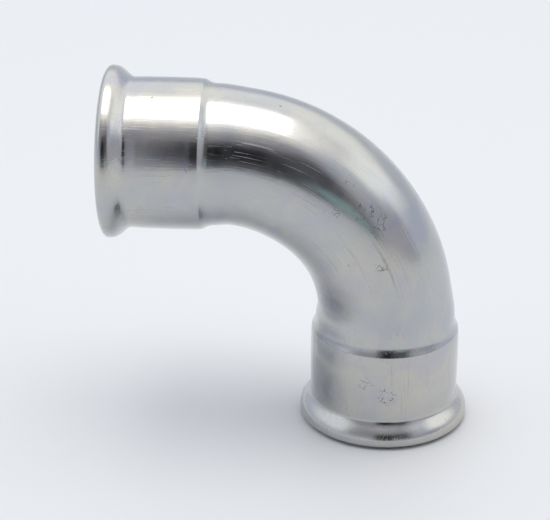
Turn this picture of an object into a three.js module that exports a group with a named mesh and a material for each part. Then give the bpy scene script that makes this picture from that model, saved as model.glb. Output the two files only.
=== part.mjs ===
// 90 degree press-fit pipe elbow for 35 mm stainless tube, with its two seal rings.
// Millimetres, +Z up. The elbow stands on its lower mouth; the other arm points along -X.
// The origin lies at the bottom centre of the whole fitting's box.

import * as THREE from 'three';

// Driving dimensions of the drawn, bent and expanded tube
const tubeRadius = 17.5;
const wallThickness = 1.5;
const armLength = 72; // from each mouth to the axis of the other arm
const bendRadius = 43.2; // centreline of the bend

// Socket that takes the pipe
const socketInnerRadius = 17.7;
const stepStart = 24.5; // depth where the socket starts to narrow, which stops the pipe
const stepLength = 3.5; // length over which it narrows towards the tube
const innerStepDelay = 0.4; // the inside narrows this much deeper than the outside
const footSwell = 0.3; // the tube is still this much over its own radius at the step's foot
const swellEnd = 34; // depth where it has come down to its own radius

// Rolled bead at each mouth, which holds the seal ring
const crestRadius = 21.9;
const crestDepth = 1.7; // from the mouth to the widest place
const flankEnd = 6.9; // where the steep back of the bead ends
const waistDepth = 0.12; // the socket is this much under its radius there
const waistEnd = 10.5;
const lipOuterRadius = 19.4;
const lipInnerRadius = 17.8;
const lipChamfer = 0.15;
const lipThickness = 1.1;
const grooveRadius = 20.8;
const grooveCrestDepth = 2.1;
const grooveEnd = 7.3;
const grooveCornerRadius = 1;

// Seal ring, lying in the bead's groove
const sealSectionRadius = 1.35;
const sealCentreRadius = 18.75;
const sealDepth = 2.85;

// Fineness of the faceted surfaces
const facetsRound = 40;
const facetsAlongBend = 18;
const facetsRoundSealSection = 12;

// Places that follow from the dimensions above
const socketOuterRadius = socketInnerRadius + wallThickness;
const boreRadius = tubeRadius - wallThickness;
const lowerAxisX = (armLength - crestRadius) / 2;
const straightLength = armLength - bendRadius;
const bendLength = bendRadius * Math.PI / 2;
const totalLength = 2 * straightLength + bendLength;
const stepEnd = stepStart + stepLength;

const steel = new THREE.MeshStandardMaterial({ color: 0xb4b6bb, roughness: 0.32, metalness: 1 });
const sealRubber = new THREE.MeshStandardMaterial({ color: 0x161618, roughness: 0.6, metalness: 0 });

// A point of a profile: distance from the tube's axis, and depth from the mouth
function profilePoint(radius, depth) {
  return new THREE.Vector2(radius, depth);
}

// Fractions up to 1 in equal steps, without the 0
function fractions(count) {
  return Array.from({ length: count }, (_, i) => (i + 1) / count);
}

// A quarter of an ellipse that rises from the mouth's face to a crest
function crestPoints(startDepth, topDepth, startRadius, topRadius, count) {
  return fractions(count).map((u) => {
    const turn = u * Math.PI / 2;
    const radius = startRadius + (topRadius - startRadius) * Math.sin(turn);
    return profilePoint(radius, topDepth - (topDepth - startDepth) * Math.cos(turn));
  });
}

// The back of the bead, flat at the crest, then steep, then running out
function flankPoints(startDepth, endDepth, topRadius, endRadius, count) {
  return fractions(count).map((u) => {
    const radius = endRadius + (topRadius - endRadius) * (1 - u ** 3) ** 2;
    return profilePoint(radius, startDepth + (endDepth - startDepth) * u);
  });
}

// The step from the socket down to the slightly swollen tube, steep first, then running out
function stepPoints(startDepth, fromRadius, tubeWallRadius, count) {
  const toRadius = tubeWallRadius + footSwell;
  return [0, ...fractions(count)].map((u) => {
    const radius = THREE.MathUtils.lerp(fromRadius, toRadius, 1 - (1 - u) ** 3);
    return profilePoint(radius, startDepth + stepLength * u);
  });
}

// How much the tube is over its own radius at a depth from the nearer mouth
function swellAt(depth) {
  return footSwell * (1 - THREE.MathUtils.smoothstep(depth, stepEnd, swellEnd));
}

// Outside of one end, from the mouth's face inwards
function outerEndProfile() {
  return [
    profilePoint(lipOuterRadius, 0),
    ...crestPoints(0, crestDepth, lipOuterRadius, crestRadius, 4),
    ...flankPoints(crestDepth, flankEnd, crestRadius, socketOuterRadius - waistDepth, 6),
    profilePoint(socketOuterRadius, waistEnd),
    ...stepPoints(stepStart, socketOuterRadius, tubeRadius, 4),
  ];
}

// Inside of one end, with the groove for the seal ring
function innerEndProfile() {
  const cornerStart = grooveRadius - grooveCornerRadius;
  return [
    profilePoint(lipInnerRadius + lipChamfer, 0),
    profilePoint(lipInnerRadius, lipChamfer),
    profilePoint(lipInnerRadius, lipThickness),
    profilePoint(cornerStart, lipThickness),
    ...crestPoints(lipThickness, grooveCrestDepth, cornerStart, grooveRadius, 2),
    ...flankPoints(grooveCrestDepth, grooveEnd, grooveRadius, socketInnerRadius, 5),
    ...stepPoints(stepStart + innerStepDelay, socketInnerRadius, boreRadius, 3),
  ];
}

// One wall of the developed fitting, from mouth to mouth
function wallProfile(endProfile, tubeWallRadius) {
  const bend = [0, ...fractions(facetsAlongBend)].map((u) => {
    const distance = straightLength + bendLength * u;
    const depth = Math.min(distance, totalLength - distance);
    return profilePoint(tubeWallRadius + swellAt(depth), distance);
  });
  const farEnd = endProfile.map((p) => profilePoint(p.x, totalLength - p.y)).reverse();
  return [...endProfile, ...bend, ...farEnd];
}

// How far the centreline has turned at a distance from the side mouth
function turnAt(distance) {
  return THREE.MathUtils.clamp((distance - straightLength) / bendRadius, 0, Math.PI / 2);
}

// A place on the centreline, which runs along +X, round the bend, and down
function centrePlaceAt(distance) {
  const turn = turnAt(distance);
  const before = Math.min(distance, straightLength);
  const after = Math.max(distance - straightLength - bendLength, 0);
  const x = lowerAxisX - armLength + before + bendRadius * Math.sin(turn);
  const z = armLength - bendRadius * (1 - Math.cos(turn)) - after;
  return new THREE.Vector3(x, 0, z);
}

// Makes a straight geometry round the Y axis follow the centreline
function bendAlongCentreline(geometry) {
  const position = geometry.attributes.position;
  for (let i = 0; i < position.count; i += 1) {
    const distance = position.getY(i);
    const turn = turnAt(distance);
    const outward = position.getX(i);
    const centre = centrePlaceAt(distance);
    const x = centre.x + outward * Math.sin(turn);
    const z = centre.z + outward * Math.cos(turn);
    position.setXYZ(i, x, position.getZ(i), z);
  }
  geometry.computeVertexNormals();
  return geometry;
}

// The one-piece body: a straight turned tube with both walls, bent afterwards
function elbowBody() {
  const outerWall = wallProfile(outerEndProfile(), tubeRadius);
  const innerWall = wallProfile(innerEndProfile(), boreRadius);
  const profile = [...outerWall, ...innerWall.reverse()];
  profile.push(profile[0].clone());
  const straightTube = new THREE.LatheGeometry(profile, facetsRound);
  const mesh = new THREE.Mesh(bendAlongCentreline(straightTube), steel);
  mesh.name = 'elbow_body';
  return mesh;
}

// A round rubber ring, lying flat
function sealRing(name) {
  const geometry = new THREE.TorusGeometry(
    sealCentreRadius, sealSectionRadius, facetsRoundSealSection, facetsRound
  );
  const mesh = new THREE.Mesh(geometry, sealRubber);
  mesh.name = name;
  return mesh;
}

function lowerSealRing() {
  const ring = sealRing('lower_seal_ring');
  ring.position.set(lowerAxisX, 0, sealDepth);
  return ring;
}

function sideSealRing() {
  const ring = sealRing('side_seal_ring');
  ring.rotation.y = Math.PI / 2;
  ring.position.set(lowerAxisX - armLength + sealDepth, 0, armLength);
  return ring;
}

const pipeElbow = new THREE.Group();
pipeElbow.add(elbowBody(), lowerSealRing(), sideSealRing());

export default pipeElbow;
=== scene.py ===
import math

import bpy
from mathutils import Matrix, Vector


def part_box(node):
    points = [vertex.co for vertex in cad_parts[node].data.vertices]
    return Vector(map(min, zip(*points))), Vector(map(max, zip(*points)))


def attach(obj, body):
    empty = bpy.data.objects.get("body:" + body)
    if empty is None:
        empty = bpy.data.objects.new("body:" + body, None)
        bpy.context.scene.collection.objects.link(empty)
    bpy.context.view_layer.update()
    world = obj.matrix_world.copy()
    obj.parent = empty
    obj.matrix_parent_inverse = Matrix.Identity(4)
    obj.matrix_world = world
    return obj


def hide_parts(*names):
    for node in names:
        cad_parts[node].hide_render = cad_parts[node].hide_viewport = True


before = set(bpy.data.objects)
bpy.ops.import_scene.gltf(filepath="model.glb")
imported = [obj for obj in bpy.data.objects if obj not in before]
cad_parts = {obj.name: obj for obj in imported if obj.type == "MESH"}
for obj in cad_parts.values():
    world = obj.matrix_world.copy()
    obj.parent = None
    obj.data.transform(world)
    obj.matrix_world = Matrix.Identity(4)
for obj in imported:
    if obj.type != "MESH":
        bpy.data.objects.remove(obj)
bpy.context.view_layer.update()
print("frame loaded")

mm = 0.001


# One output socket that can stand in a sum
class Wire:
    def __init__(self, tree, socket):
        self.tree = tree
        self.socket = socket

    def maths(self, operation, *terms):
        node = self.tree.nodes.new("ShaderNodeMath")
        node.operation = operation
        for slot, term in zip(node.inputs, terms):
            feed(self.tree, slot, term)
        return Wire(self.tree, node.outputs[0])

    def __add__(self, other):
        return self.maths("ADD", self, other)

    def __radd__(self, other):
        return self.maths("ADD", other, self)

    def __sub__(self, other):
        return self.maths("SUBTRACT", self, other)

    def __rsub__(self, other):
        return self.maths("SUBTRACT", other, self)

    def __mul__(self, other):
        return self.maths("MULTIPLY", self, other)

    def __rmul__(self, other):
        return self.maths("MULTIPLY", other, self)

    def __truediv__(self, other):
        return self.maths("DIVIDE", self, other)

    def least(self, other):
        return self.maths("MINIMUM", self, other)

    def most(self, other):
        return self.maths("MAXIMUM", self, other)

    def sin(self):
        return self.maths("SINE", self)

    def cos(self):
        return self.maths("COSINE", self)

    def size(self):
        return self.maths("ABSOLUTE", self)

    def degrees(self):
        return self.maths("DEGREES", self)

    def arcsin(self):
        return self.maths("ARCSINE", self)

    def angleFrom(self, other):
        return self.maths("ARCTAN2", self, other)

    def floor(self):
        return self.maths("FLOOR", self)

    def wrapped(self, length):
        return self.maths("MODULO", self, length)

    def rise(self, low, high):
        # 0 at low and 1 at high, with soft ends
        part = ((self - low) / (high - low)).most(0).least(1)
        return part * part * (3 - 2 * part)


def feed(tree, slot, term):
    if isinstance(term, Wire):
        tree.links.new(term.socket, slot)
    else:
        slot.default_value = term


# A node tree, and the one way that any other node is added to it
class Bench:
    def __init__(self, tree):
        self.tree = tree

    def node(self, kind, settings=None, sockets=None):
        made = self.tree.nodes.new(kind)
        for name, value in (settings or {}).items():
            setattr(made, name, value)
        for name, term in (sockets or {}).items():
            feed(self.tree, made.inputs[name], term)
        return made

    def wire(self, kind, settings=None, sockets=None, output=0):
        return Wire(self.tree, self.node(kind, settings, sockets).outputs[output])

    def vector(self, x, y, z):
        return self.wire("ShaderNodeCombineXYZ", None, {"X": x, "Y": y, "Z": z})

    def parts(self, vector):
        split = self.node("ShaderNodeSeparateXYZ", None, {"Vector": vector})
        return [Wire(self.tree, output) for output in split.outputs]

    def vectorMaths(self, operation, first, second, output=0):
        settings = {"operation": operation}
        return self.wire("ShaderNodeVectorMath", settings, {0: first, 1: second}, output)

    def scaled(self, vector, amounts):
        return self.vectorMaths("MULTIPLY", vector, amounts)

    def noise(self, vector, scale, detail=2.0, roughness=0.5, distortion=0.0):
        sockets = {"Vector": vector, "Scale": scale, "Detail": detail}
        sockets.update({"Roughness": roughness, "Distortion": distortion})
        return self.wire("ShaderNodeTexNoise", None, sockets)

    def noiseMoved(self, vector, scale, amount):
        # the vector pushed about a little by a noise
        sockets = {"Vector": vector, "Scale": scale, "Detail": 1.0}
        push = self.wire("ShaderNodeTexNoise", None, sockets, 1)
        centred = self.vectorMaths("SUBTRACT", push, (0.5, 0.5, 0.5))
        step = self.scaled(centred, (amount, amount, amount))
        return self.vectorMaths("ADD", vector, step)

    def mixed(self, share, first, second):
        # the colour sockets of a Mix node are its last two A and B
        made = self.node("ShaderNodeMix", {"data_type": "RGBA"}, {"Factor": share})
        feed(self.tree, made.inputs[6], first)
        feed(self.tree, made.inputs[7], second)
        return Wire(self.tree, made.outputs[2])


# The view: the camera looks a little from the right and well down on the fitting
cameraLook = {
    "azimuth": 3.85,
    "elevation": 25.3,
    "roll": 0.16,
    "distance": 0.557,
    "lens": 140.3,
    "sensorWidth": 36,
    "clipStart": 0.01,
    "aimBack": 0.036,
    "aimRight": 0.0072,
    "aimUp": 0.00604,
}


def makeCamera(look, lowerAxis, armHeight):
    azimuth = math.radians(look["azimuth"])
    elevation = math.radians(look["elevation"])
    roll = math.radians(look["roll"])
    back = Vector((
        math.sin(azimuth) * math.cos(elevation),
        -math.cos(azimuth) * math.cos(elevation),
        math.sin(elevation),
    ))
    right = Vector((math.cos(azimuth), math.sin(azimuth), 0))
    up = back.cross(right)
    aim = Vector((lowerAxis - look["aimBack"], 0, armHeight / 2))
    aim += look["aimRight"] * right + look["aimUp"] * up
    data = bpy.data.cameras.new("camera")
    data.lens = look["lens"]
    data.sensor_width = look["sensorWidth"]
    data.clip_start = look["clipStart"]
    camera = bpy.data.objects.new("camera", data)
    bpy.context.scene.collection.objects.link(camera)
    turned = back.to_track_quat("Z", "Y").to_matrix()
    rightTurned = right * math.cos(roll) + up * math.sin(roll)
    upTurned = up * math.cos(roll) - right * math.sin(roll)
    for row in range(3):
        turned[row][0] = rightTurned[row]
        turned[row][1] = upTurned[row]
        turned[row][2] = back[row]
    camera.rotation_euler = turned.to_euler()
    camera.location = aim + look["distance"] * back
    bpy.context.scene.camera = camera


elbow = {
    "tubeRadius": 17.5 * mm,
    "boreRadius": 16.0 * mm,
    "bendRadius": 43.2 * mm,
    "socketOuter": 19.2 * mm,
    "socketInner": 17.7 * mm,
    "sideStepStart": 25.1 * mm,
    "lowerStepStart": 25.2 * mm,
    "shoulderLength": 2.4 * mm,
    "shoulderDrop": 0.14 * mm,
    "stepLength": 2.9 * mm,
    "stepCornerShare": 0.08,
    "innerStepDelay": 0.4 * mm,
    "sideFootSwell": 0.5 * mm,
    "lowerFootSwell": 0.6 * mm,
    "swellEnd": 35.5 * mm,
    "crestRadius": 21.9 * mm,
    "crestDepth": 1.7 * mm,
    "flankEnd": 7.1 * mm,
    "waistDepth": 0.1 * mm,
    "waistEnd": 10.5 * mm,
    "socketBulge": 0.05 * mm,
    "lipOuter": 19.4 * mm,
    "lipInner": 17.8 * mm,
    "lipThickness": 1.1 * mm,
    "lipRounding": 0.15 * mm,
    "lipStraightShare": 0.85,
    "lipBevel": 0.1 * mm,
    "grooveRadius": 20.8 * mm,
    "grooveCrestDepth": 2.1 * mm,
    "grooveEnd": 7.3 * mm,
    "grooveCorner": 1.0 * mm,
    "waviness": 0.045 * mm,
    "waveScale": 70.0,
    "flatPlace": 74 * mm,
    "flatReach": 27 * mm,
    "flatInside": 0.44 * mm,
    "flatOutside": 0.24 * mm,
    "facetsRound": 160,
    "bendStations": 80,
}

seal = {
    "sectionRadius": 1.35 * mm,
    "centreRadius": 18.75 * mm,
    "depth": 2.85 * mm,
    "flashWidth": 0.12 * mm,
    "flashHeight": 0.07 * mm,
    "sectionPoints": 48,
}

bodyLow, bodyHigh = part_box("elbow_body")
lowerAxis = bodyHigh.x - elbow["crestRadius"]
armLength = lowerAxis - bodyLow.x
straightLength = armLength - elbow["bendRadius"]
bendLength = elbow["bendRadius"] * math.pi / 2
totalLength = 2 * straightLength + bendLength

makeCamera(cameraLook, lowerAxis, armLength)
print("camera placed")


# Outlines are lists of (distance from the tube's axis, depth from the mouth)
def between(start, end, radiusShare, depthShare):
    radius = start[0] + (end[0] - start[0]) * radiusShare
    return radius, start[1] + (end[1] - start[1]) * depthShare


def quarterRise(start, top, count):
    points = []
    for i in range(1, count + 1):
        turn = math.pi / 2 * i / count
        radius = start[0] + (top[0] - start[0]) * math.sin(turn)
        points.append((radius, top[1] - (top[1] - start[1]) * math.cos(turn)))
    return points


def bellFall(top, end, count):
    points = []
    for i in range(1, count + 1):
        u = i / count
        radius = end[0] + (top[0] - end[0]) * (1 - u ** 2.5) ** 2
        points.append((radius, top[1] + (end[1] - top[1]) * u))
    return points


def softFall(start, end, count):
    points = []
    for i in range(1, count + 1):
        u = i / count
        fall = u * u * (3 - 2 * u)
        points.append(between(start, end, fall, u))
    return points


def roundedFall(start, end, count):
    # falls ever faster, up to but not including its end
    points = []
    for i in range(count):
        u = i / count
        points.append(between(start, end, u * u, u))
    return points


def cornerStep(start, end, corner, count):
    # a short rounded corner, then steep, then running out
    points = []
    for i in range(count + 1):
        u = (i / count) ** 1.5
        rounded = u * u / (u + corner)
        fall = 1 - (1 - rounded) ** 2
        points.append(between(start, end, fall, u))
    return points


def evenLine(start, end, count):
    return [between(start, end, i / count, i / count) for i in range(1, count)]


def barrel(start, end, bulge, count):
    # a very slight belly between two places on the same radius
    points = evenLine(start, end, count)
    return [(r + bulge * math.sin(math.pi * (i + 1) / count), z) for i, (r, z) in enumerate(points)]


def outerEnd(s, stepStart, footSwell):
    crest = (s["crestRadius"], s["crestDepth"])
    flankFoot = (s["socketOuter"] - s["waistDepth"], s["flankEnd"])
    waistTop = (s["socketOuter"], s["waistEnd"])
    shoulderTop = (s["socketOuter"], stepStart - s["shoulderLength"])
    stepTop = (s["socketOuter"] - s["shoulderDrop"], stepStart)
    stepFoot = (s["tubeRadius"] + footSwell, stepStart + s["stepLength"])
    points = [(s["lipOuter"], 0)]
    points += quarterRise((s["lipOuter"], 0), crest, 18)
    points += bellFall(crest, flankFoot, 24)
    points += softFall(flankFoot, waistTop, 8)
    points += barrel(waistTop, shoulderTop, s["socketBulge"], 10)
    points += roundedFall(shoulderTop, stepTop, 8)
    points += cornerStep(stepTop, stepFoot, s["stepCornerShare"], 24)
    return points


def innerEnd(s, stepStart, footSwell):
    corner = s["grooveRadius"] - s["grooveCorner"]
    crest = (s["grooveRadius"], s["grooveCrestDepth"])
    flankFoot = (s["socketInner"], s["grooveEnd"])
    stepTop = (s["socketInner"], stepStart + s["innerStepDelay"])
    stepFoot = (s["boreRadius"] + footSwell, stepTop[1] + s["stepLength"])
    points = []
    for i in range(5):
        turn = math.pi / 2 * i / 4
        depth = s["lipRounding"] * (1 - math.cos(turn))
        points.append((s["lipInner"] + s["lipRounding"] * (1 - math.sin(turn)), depth))
    points += [(s["lipInner"], s["lipThickness"] * s["lipStraightShare"])]
    points += [(s["lipInner"] + s["lipBevel"], s["lipThickness"])]
    points += [(corner, s["lipThickness"])]
    points += quarterRise((corner, s["lipThickness"]), crest, 8)
    points += bellFall(crest, flankFoot, 16)
    points += evenLine(flankFoot, stepTop, 6)
    points += cornerStep(stepTop, stepFoot, s["stepCornerShare"], 12)
    return points


def swellAt(s, depth, stepStart, footSwell):
    # the tube is still a little over its own size where the step has run out
    left = (s["swellEnd"] - depth) / (s["swellEnd"] - stepStart - s["stepLength"])
    left = max(0, min(1, left))
    return footSwell * left * left * (3 - 2 * left)


def wholeWall(s, makeEnd, radius):
    side = (s["sideStepStart"], s["sideFootSwell"])
    lower = (s["lowerStepStart"], s["lowerFootSwell"])
    points = makeEnd(s, *side)
    for i in range(s["bendStations"] + 1):
        distance = straightLength + bendLength * i / s["bendStations"]
        swell = swellAt(s, distance, *side) + swellAt(s, totalLength - distance, *lower)
        points.append((radius + swell, distance))
    return points + [(r, totalLength - depth) for r, depth in reversed(makeEnd(s, *lower))]


def sealOutline(s, distance):
    # a round section with a thin moulding flash on its inside and outside
    points = []
    for i in range(s["sectionPoints"]):
        turn = 2 * math.pi * i / s["sectionPoints"]
        offLine = s["sectionRadius"] * abs(math.sin(turn))
        reach = s["sectionRadius"]
        if offLine < s["flashWidth"]:
            reach += s["flashHeight"]
        points.append((s["centreRadius"] + reach * math.cos(turn), distance - reach * math.sin(turn)))
    return points


# The rule that makes all three pieces: turn an outline round the tube's axis,
# note where each point is on the straight tube, then bend the tube
def bentTurningTree():
    tree = bpy.data.node_groups.new("bentTurning", "GeometryNodeTree")
    face = tree.interface
    face.new_socket("Outline", in_out="INPUT", socket_type="NodeSocketGeometry")
    face.new_socket("Facets Round", in_out="INPUT", socket_type="NodeSocketInt")
    lengths = ("Lower Axis", "Arm Length", "Bend Radius", "Waviness", "Wave Scale")
    for name in lengths + ("Flat Place", "Flat Reach", "Flat Inside", "Flat Outside"):
        face.new_socket(name, in_out="INPUT", socket_type="NodeSocketFloat")
    face.new_socket("Finish", in_out="INPUT", socket_type="NodeSocketMaterial")
    face.new_socket("Piece", in_out="OUTPUT", socket_type="NodeSocketGeometry")
    bench = Bench(tree)
    given = bench.node("NodeGroupInput")
    taken = {socket.name: Wire(tree, socket) for socket in given.outputs if socket.name}

    outline = {"Geometry": taken["Outline"]}
    count = bench.wire("GeometryNodeAttributeDomainSize", {"component": "MESH"}, outline)
    roundCount = taken["Facets Round"] + 1
    sheet = bench.wire("GeometryNodeMeshGrid", None, {"Vertices X": count + 1, "Vertices Y": roundCount})
    index = bench.wire("GeometryNodeInputIndex")
    station = ((index + 0.5) / roundCount).floor()
    spoke = index - station * roundCount
    onOutline = bench.wire("GeometryNodeSampleIndex", {"data_type": "FLOAT_VECTOR"}, {
        "Geometry": taken["Outline"],
        "Value": bench.wire("GeometryNodeInputPosition"),
        "Index": station.wrapped(count),
    })
    radius, innerSide, distance = bench.parts(onOutline)
    turn = spoke / taken["Facets Round"] * (2 * math.pi)
    straight = bench.vector(radius * turn.cos(), radius * turn.sin(), distance)
    waves = bench.noise(straight, taken["Wave Scale"], 2.0)
    wavy = radius + (waves - 0.5) * 2 * taken["Waviness"]
    outward = wavy * turn.cos()
    sideways = wavy * turn.sin()

    run = taken["Arm Length"] - taken["Bend Radius"]
    bent = ((distance - run) / taken["Bend Radius"]).most(0).least(math.pi / 2)
    before = distance.least(run)
    after = (distance - run - taken["Bend Radius"] * (math.pi / 2)).most(0)
    offPlace = (distance - taken["Flat Place"]) / taken["Flat Reach"]
    flat = (1 - offPlace * offPlace).most(0)
    towardsInside = (turn.cos() * -1).most(0) * taken["Flat Inside"]
    towardsOutside = turn.cos().most(0) * taken["Flat Outside"]
    pressed = outward + flat * flat * (towardsInside - towardsOutside)
    reach = pressed + taken["Bend Radius"]
    x = taken["Lower Axis"] - taken["Arm Length"] + before + reach * bent.sin()
    z = taken["Arm Length"] - taken["Bend Radius"] + reach * bent.cos() - after
    place = bench.vector(x, sideways, z)

    noted = bench.wire("GeometryNodeStoreNamedAttribute", {"data_type": "FLOAT_VECTOR"}, {
        "Geometry": sheet, "Name": "straightPlace", "Value": straight,
    })
    marked = bench.wire("GeometryNodeStoreNamedAttribute", {"data_type": "FLOAT"}, {
        "Geometry": noted, "Name": "innerSide", "Value": innerSide,
    })
    placed = bench.wire("GeometryNodeSetPosition", None, {"Geometry": marked, "Position": place})
    seam = {"Geometry": placed, "Distance": 0.001 * mm}
    closed = bench.wire("GeometryNodeMergeByDistance", None, seam)
    smooth = bench.wire("GeometryNodeSetShadeSmooth", None, {"Geometry": closed})
    solid = bench.wire("GeometryNodeRealizeInstances", None, {"Geometry": smooth})
    done = bench.wire("GeometryNodeSetMaterial", None, {"Geometry": solid, "Material": taken["Finish"]})
    bench.node("NodeGroupOutput", None, {"Piece": done})
    return tree


def turnedPiece(name, outerWall, innerWall, tree, inputs):
    # the outline runs along the outer wall and comes back along the inner one
    outline = [(radius, 0, distance) for radius, distance in outerWall]
    outline += [(radius, 1, distance) for radius, distance in reversed(innerWall)]
    lines = bpy.data.meshes.new(name + "Outline")
    links = [(i, (i + 1) % len(outline)) for i in range(len(outline))]
    lines.from_pydata(outline, links, [])
    former = bpy.data.objects.new(name + "Former", lines)
    bpy.context.scene.collection.objects.link(former)
    rule = former.modifiers.new("bentTurning", "NODES")
    rule.node_group = tree
    for item in tree.interface.items_tree:
        if item.in_out == "INPUT" and item.name in inputs:
            rule[item.identifier] = inputs[item.name]
    evaluated = former.evaluated_get(bpy.context.evaluated_depsgraph_get())
    mesh = bpy.data.meshes.new_from_object(evaluated)
    mesh.name = name
    bpy.data.objects.remove(former)
    piece = bpy.data.objects.new(name, mesh)
    bpy.context.scene.collection.objects.link(piece)
    return piece


# Sizes and heights of the marks are in millimetres
steelLook = {
    "warmGrey": (0.585, 0.562, 0.512, 1),
    "coolGrey": (0.468, 0.488, 0.510, 1),
    "lavenderGrey": (0.500, 0.482, 0.545, 1),
    "speckGrey": (0.30, 0.30, 0.31, 1),
    "markGrey": (0.11, 0.10, 0.10, 1),
    # colour of the painted shade on the left front of the lower arm
    "paintedShadeGrey": (0.27, 0.28, 0.31, 1),
    "insideGrey": (0.70, 0.69, 0.675, 1),
    "roughness": 0.165,
    "roughnessSpread": 0.07,
    "insideRoughness": 0.33,
    "cloudSize": 22,
    "smudgesPerCloud": 3.3,
    "bloomsPerCloud": 1.7,
    "streakWidth": 0.75,
    "streakLength": 18,
    "streakHeight": 0.015,
    "hairWidth": 0.3,
    "hairLength": 22,
    "hairHeight": 0.005,
    "scratchPatch": 11,
    "scratchRoughness": 0.38,
    "scratchDepth": 0.004,
    "rollMarkWidth": 0.5,
    "rollMarkHeight": 0.004,
    "dimpleSize": 2.4,
    "dimpleHeight": 0.006,
    "grainSize": 0.35,
    "grainHeight": 0.0022,
    "pitSpacing": 3.6,
    "pitSize": 0.24,
    "pitDepth": 0.03,
    "crackCell": 1.9,
    "crackWidth": 0.06,
    "crackDepth": 0.012,
    "flawRoughness": 0.25,
}

# Patches of crazed marks, in millimetres on the straight tube: outward (away from the
# bend's centre), sideways and along, and the patch's radius
crazedPatches = [
    (9.0, -15.0, 67.5, 3.6),
    (8.3, -15.3, 64.0, 3.0),
    (2.9, -17.3, 59.0, 2.4),
    (-2.1, -17.4, 71.7, 1.8),
    (4.0, -17.0, 76.3, 2.0),
    (11.2, -13.4, 58.3, 1.8),
    (1.0, -19.1, 111.0, 3.0),
    (-4.2, -18.7, 108.0, 2.2),
    (3.9, -18.8, 23.3, 1.4),
    (-9.0, 14.5, 58.0, 3.5),
    (6.0, 18.0, 106.0, 3.0),
]

# Patches of painted shade, darkening the left front of the lower arm and bend where the steel shows
# darker reflections, in the same terms
dullStains = [
    (-16.0, -11.0, 112.0, 10.0),
    (-15.0, -11.5, 100.0, 9.0),
    (-13.5, -12.0, 85.0, 11.0),
]


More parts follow.
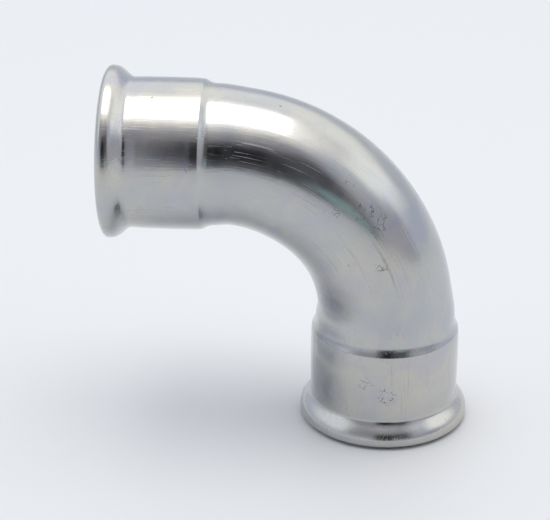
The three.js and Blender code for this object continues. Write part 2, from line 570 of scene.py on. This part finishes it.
def steelFinish(look, patches, stains):
    material = bpy.data.materials.new("pickledSteel")
    material.use_nodes = True
    tree = material.node_tree
    tree.nodes.clear()
    bench = Bench(tree)
    straight = bench.wire("ShaderNodeAttribute", {"attribute_name": "straightPlace"}, None, 1)
    inner = bench.wire("ShaderNodeAttribute", {"attribute_name": "innerSide"}, None, 2)
    place = bench.scaled(straight, (1 / mm, 1 / mm, 1 / mm))
    _, _, along = bench.parts(place)
    depth = along.least(totalLength / mm - along)

    def drawn(width, length, detail):
        # noise stretched along the tube, as drawing it through a die leaves it
        return bench.noise(bench.scaled(place, (1 / width, 1 / width, 1 / length)), 1.0, detail, 0.6)

    clouds = bench.noise(place, 1 / look["cloudSize"], 1.5, 0.5)
    smudges = bench.noise(place, look["smudgesPerCloud"] / look["cloudSize"], 2.5, 0.55, 0.8)
    blooms = bench.noise(place, look["bloomsPerCloud"] / look["cloudSize"], 1.0, 0.5, 1.5)
    streaks = drawn(look["streakWidth"], look["streakLength"], 3.0)
    hairs = drawn(look["hairWidth"], look["hairLength"], 2.0)
    dimples = bench.noise(place, 1 / look["dimpleSize"], 2.0, 0.5)
    grain = bench.noise(place, 1 / look["grainSize"], 2.0, 0.6)

    # long scratches in patches
    scratchedArea = bench.noise(place, 1 / look["scratchPatch"], 1.0).rise(0.40, 0.60)
    scratches = hairs.rise(0.60, 0.68) * scratchedArea

    # marks of the rollers round each bead
    across = 1 / look["rollMarkWidth"]
    rolled = bench.noise(bench.scaled(place, (0.04, 0.04, across)), 1.0, 2.0)
    onBead = 1 - depth.rise(6.5, 9)

    # sparse pits
    spots = bench.node("ShaderNodeTexVoronoi", None, {"Vector": place, "Scale": 1 / look["pitSpacing"]})
    offCentre = Wire(tree, spots.outputs["Distance"]) * look["pitSpacing"]
    chance, chosenSize, _ = bench.parts(Wire(tree, spots.outputs["Color"]))
    pitRadius = look["pitSize"] * (0.45 + chosenSize)
    pits = (1 - (offCentre / pitRadius).rise(0.5, 1)) * chance.rise(0.72, 0.74)

    def nearAny(places, innerShare):
        area = 0
        for outward, sideways, distance, reach in places:
            away = bench.vectorMaths("DISTANCE", place, (outward, sideways, distance), 1)
            area = (1 - (away / reach).rise(innerShare, 1.1)).most(area)
        return area

    # crazed marks, broken up by the dimples
    crazedArea = nearAny(patches, 0.5)
    pushed = bench.noiseMoved(place, 0.8, 2.2)
    cells = bench.wire("ShaderNodeTexVoronoi", {"feature": "DISTANCE_TO_EDGE"}, {
        "Vector": pushed, "Scale": 1 / look["crackCell"],
    })
    broken = dimples.rise(0.44, 0.56)
    crazed = (1 - cells.rise(0.3 * look["crackWidth"], look["crackWidth"])) * crazedArea * broken

    tone = clouds.rise(0.3, 0.7) * 0.6 + smudges.rise(0.3, 0.7) * 0.4
    colour = bench.mixed(tone, look["coolGrey"], look["warmGrey"])
    colour = bench.mixed(blooms.rise(0.52, 0.75) * 0.7, colour, look["lavenderGrey"])
    colour = bench.mixed(grain.rise(0.5, 0.8) * 0.22, colour, look["speckGrey"])
    # painted shade: the left front of the lower arm and bend darkened, mottled by the smudges
    stained = nearAny(stains, 0.2) * (0.45 + smudges.rise(0.3, 0.7) * 0.4)
    colour = bench.mixed(stained, colour, look["paintedShadeGrey"])
    colour = bench.mixed((pits * 0.8).most(crazed * 0.9), colour, look["markGrey"])
    colour = bench.mixed(inner, colour, look["insideGrey"])
    rough = look["roughness"] + look["roughnessSpread"] * (smudges.rise(0.3, 0.7) + streaks - 1)
    rough = rough + scratches * look["scratchRoughness"] + (pits + crazed) * look["flawRoughness"]
    rough = rough + (look["insideRoughness"] - look["roughness"]) * inner
    height = streaks * look["streakHeight"] + hairs * look["hairHeight"]
    height = height + grain * look["grainHeight"] + dimples * look["dimpleHeight"]
    height = height + rolled * onBead * look["rollMarkHeight"]
    height = height - scratches * look["scratchDepth"]
    height = height - pits * look["pitDepth"] - crazed * look["crackDepth"]
    bump = bench.wire("ShaderNodeBump", None, {"Strength": 1.0, "Distance": 1 * mm, "Height": height})
    shader = bench.wire("ShaderNodeBsdfPrincipled", None, {
        "Base Color": colour, "Metallic": 1.0, "Roughness": rough, "Normal": bump,
    })
    bench.node("ShaderNodeOutputMaterial", None, {"Surface": shader})
    return material


rubberLook = {
    "black": (0.010, 0.010, 0.011, 1),
    "bloomGrey": (0.022, 0.022, 0.023, 1),
    "roughness": 0.38,
    "bloomRoughness": 0.2,
    "bloomScale": 0.35,
    "skinScale": 9.0,
    "skinHeight": 0.01 * mm,
    "skinStrength": 0.4,
}


def rubberFinish(look):
    material = bpy.data.materials.new("sealRubber")
    material.use_nodes = True
    tree = material.node_tree
    tree.nodes.clear()
    bench = Bench(tree)
    straight = bench.wire("ShaderNodeAttribute", {"attribute_name": "straightPlace"}, None, 1)
    place = bench.scaled(straight, (1 / mm, 1 / mm, 1 / mm))
    bloom = bench.noise(place, look["bloomScale"], 3.0, 0.6)
    skin = bench.noise(place, look["skinScale"], 3.0, 0.6)
    colour = bench.mixed(bloom.rise(0.4, 0.7), look["black"], look["bloomGrey"])
    rough = look["roughness"] + bloom * look["bloomRoughness"]
    bump = bench.wire("ShaderNodeBump", None, {
        "Strength": look["skinStrength"], "Distance": look["skinHeight"], "Height": skin,
    })
    shader = bench.wire("ShaderNodeBsdfPrincipled", None, {
        "Base Color": colour, "Roughness": rough, "Normal": bump,
    })
    bench.node("ShaderNodeOutputMaterial", None, {"Surface": shader})
    return material


tree = bentTurningTree()
path = {
    "Facets Round": elbow["facetsRound"],
    "Lower Axis": lowerAxis,
    "Arm Length": armLength,
    "Bend Radius": elbow["bendRadius"],
    "Wave Scale": elbow["waveScale"],
    "Flat Place": elbow["flatPlace"],
    "Flat Reach": elbow["flatReach"],
}
steel = steelFinish(steelLook, crazedPatches, dullStains)
rubber = rubberFinish(rubberLook)

outerWall = wholeWall(elbow, outerEnd, elbow["tubeRadius"])
innerWall = wholeWall(elbow, innerEnd, elbow["boreRadius"])
body = turnedPiece("elbowBody", outerWall, innerWall, tree, {
    **path, "Waviness": elbow["waviness"], "Finish": steel,
    "Flat Inside": elbow["flatInside"], "Flat Outside": elbow["flatOutside"],
})
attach(body, "root")
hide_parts("elbow_body")
print("body made,", len(body.data.polygons), "faces")

for name, node, distance in (
    ("sideSeal", "side_seal_ring", seal["depth"]),
    ("lowerSeal", "lower_seal_ring", totalLength - seal["depth"]),
):
    ring = turnedPiece(name, sealOutline(seal, distance), [], tree, {
        **path, "Waviness": 0.0, "Flat Inside": 0.0, "Flat Outside": 0.0, "Finish": rubber,
    })
    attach(ring, "root")
    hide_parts(node)
print("seals made")

studio = {
    "floorColour": (0.672, 0.688, 0.718, 1),
    "floorRoughness": 0.5,
    "floorSize": 8.0,
    "topSize": (0.85, 0.78),
    "topPlace": (0.03, 0.07, 1.2),
    "topRadiance": 1.75,
    "topColour": (1.0, 0.97, 0.93),
    "farSky": (0.75, 0.78, 0.84, 1),
}

# What stands round the table: where it lies, half its width and height in degrees,
# how soft its edge is, and how bright it is. Azimuth 0 is the camera's side, 90 the right.
roomWalls = (0.65, 0.70, 0.79, 1)
roomThings = {
    "backCurtain": {"towards": (180, 37), "half": (62, 14), "soft": 8, "light": (1.17, 1.2, 1.22, 1)},
    "ceiling": {"towards": (0, 90), "half": (200, 33), "soft": 20, "light": (1.82, 1.76, 1.66, 1)},
    "sideWindow": {"towards": (98, 31), "half": (25, 13), "soft": 8, "light": (1.26, 1.3, 1.34, 1)},
    "leftWindow": {"towards": (-95, 38), "half": (45, 18), "soft": 12, "light": (1.04, 1.1, 1.15, 1)},
    "frontWall": {"towards": (-2, 38), "half": (50, 24), "soft": 18, "light": (0.38, 0.38, 0.42, 1)},
    "sideWall": {"towards": (60, 9), "half": (26, 14), "soft": 8, "light": (0.49, 0.50, 0.57, 1)},
    "person": {"towards": (16, 20), "half": (24, 22), "soft": 7, "light": (0.12, 0.12, 0.135, 1)},
    "personMiddle": {"towards": (4, 25), "half": (10, 13), "soft": 8, "light": (0.02, 0.02, 0.02, 1)},
    "greenThing": {"towards": (26, 6), "half": (9, 5), "soft": 4, "light": (0.34, 0.50, 0.50, 1)},
}


def makeFloor(s):
    half = s["floorSize"] / 2
    mesh = bpy.data.meshes.new("floor")
    corners = [(-half, -half, 0), (half, -half, 0), (half, half, 0), (-half, half, 0)]
    mesh.from_pydata(corners, [], [(0, 1, 2, 3)])
    floor = bpy.data.objects.new("floor", mesh)
    bpy.context.scene.collection.objects.link(floor)
    material = bpy.data.materials.new("paleFloor")
    material.use_nodes = True
    shader = material.node_tree.nodes["Principled BSDF"]
    shader.inputs["Base Color"].default_value = s["floorColour"]
    shader.inputs["Roughness"].default_value = s["floorRoughness"]
    mesh.materials.append(material)


def softLight(name, place, size, radiance, colour, aim):
    data = bpy.data.lights.new(name, "AREA")
    data.shape = "RECTANGLE"
    data.size, data.size_y = size
    data.color = colour
    data.energy = radiance * math.pi * size[0] * size[1]
    lamp = bpy.data.objects.new(name, data)
    bpy.context.scene.collection.objects.link(lamp)
    lamp.location = place
    lamp.rotation_euler = (Vector(place) - Vector(aim)).to_track_quat("Z", "Y").to_euler()
    lamp.visible_camera = False


def makeRoom(s, walls, things):
    world = bpy.data.worlds.new("studioRoom")
    bpy.context.scene.world = world
    world.use_nodes = True
    tree = world.node_tree
    tree.nodes.clear()
    bench = Bench(tree)
    x, y, z = bench.parts(bench.wire("ShaderNodeTexCoord"))
    azimuth = x.angleFrom(y * -1).degrees()
    elevation = z.most(-1).least(1).arcsin().degrees()
    light = walls
    for thing in things.values():
        soft = thing["soft"]
        width, height = thing["half"]
        # 540 keeps the remainder of the turn above 0
        off = ((azimuth + (540 - thing["towards"][0])).wrapped(360) - 180).size()
        above = (elevation - thing["towards"][1]).size()
        inWidth = 1 - off.rise(width - soft, width + soft)
        share = inWidth * (1 - above.rise(height - soft, height + soft))
        light = bench.mixed(share, light, thing["light"])
    seen = bench.wire("ShaderNodeLightPath")
    light = bench.mixed(seen, light, s["farSky"])
    shade = bench.wire("ShaderNodeBackground", None, {"Color": light, "Strength": 1.0})
    bench.node("ShaderNodeOutputWorld", None, {"Surface": shade})


makeFloor(studio)
topAim = (studio["topPlace"][0], studio["topPlace"][1], 0)
softLight(
    "topBox", studio["topPlace"], studio["topSize"], studio["topRadiance"], studio["topColour"], topAim,
)
makeRoom(studio, roomWalls, roomThings)
bpy.context.scene.view_settings.view_transform = "Standard"
print("studio lit")
